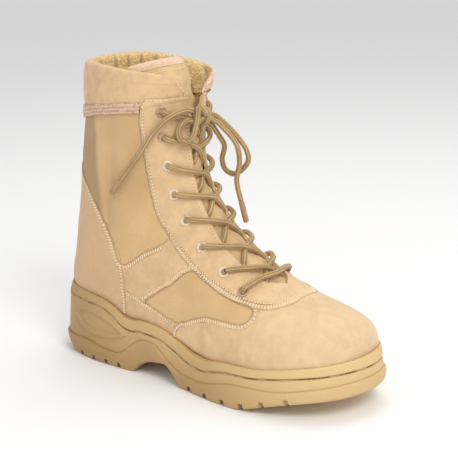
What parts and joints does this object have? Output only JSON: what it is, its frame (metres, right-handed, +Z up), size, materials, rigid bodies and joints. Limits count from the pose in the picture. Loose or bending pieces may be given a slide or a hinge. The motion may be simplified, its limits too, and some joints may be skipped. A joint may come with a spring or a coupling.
{
  "type": "combat boot",
  "caption": "Mid-calf lace-up desert combat boot for the right foot, with suede and nylon panels, a padded collar, a wide tongue and a stitched cup sole on a lugged outsole.",
  "frame": {"origin": "on the ground plane, under the middle of the boot's box measured without the free lace ends", "axes": "+X along the boot towards the toe, +Y towards the wearer's left, which is the inner (medial) side of this right boot, +Z up the shaft"},
  "size_m": [0.3029, 0.113, 0.2597],
  "materials": {
    "suede": "sand-coloured suede and nylon panels, sewn",
    "collar_suede": "soft sand-coloured suede over foam",
    "tongue_nylon": "padded sand-coloured nylon",
    "mesh_lining": "pebbled lining mesh",
    "midsole_rubber": "smooth caramel rubber",
    "outsole_rubber": "matt caramel rubber",
    "lace_cord": "round braided cord",
    "aglet_plastic": "thin brown sleeve",
    "eyelet_metal": "pale enamel, worn"
  },
  "bodies": {
    "root": {"outsole": "outsole_rubber", "midsole": "midsole_rubber", "insole": "mesh_lining", "upper": "suede", "collar": "collar_suede", "tongue": "tongue_nylon", "eyelet_lateral_1": "eyelet_metal", "eyelet_lateral_2": "eyelet_metal", "eyelet_lateral_3": "eyelet_metal", "eyelet_lateral_4": "eyelet_metal", "eyelet_lateral_5": "eyelet_metal", "eyelet_lateral_6": "eyelet_metal", "eyelet_lateral_7": "eyelet_metal", "eyelet_lateral_8": "eyelet_metal", "eyelet_medial_1": "eyelet_metal", "eyelet_medial_2": "eyelet_metal", "eyelet_medial_3": "eyelet_metal", "eyelet_medial_4": "eyelet_metal", "eyelet_medial_5": "eyelet_metal", "eyelet_medial_6": "eyelet_metal", "eyelet_medial_7": "eyelet_metal", "eyelet_medial_8": "eyelet_metal", "lace_bar": "lace_cord", "lace_crossing_1": "lace_cord", "lace_crossing_2": "lace_cord", "lace_crossing_3": "lace_cord", "lace_crossing_4": "lace_cord", "lace_crossing_5": "lace_cord", "lace_crossing_6": "lace_cord", "lace_crossing_7": "lace_cord", "lace_knot": "lace_cord", "lace_end_lateral": "lace_cord", "lace_end_medial": "lace_cord", "lace_loop_lateral": "lace_cord", "lace_loop_medial": "lace_cord", "aglet_lateral": "aglet_plastic", "aglet_medial": "aglet_plastic"}
  },
  "joints": []
}
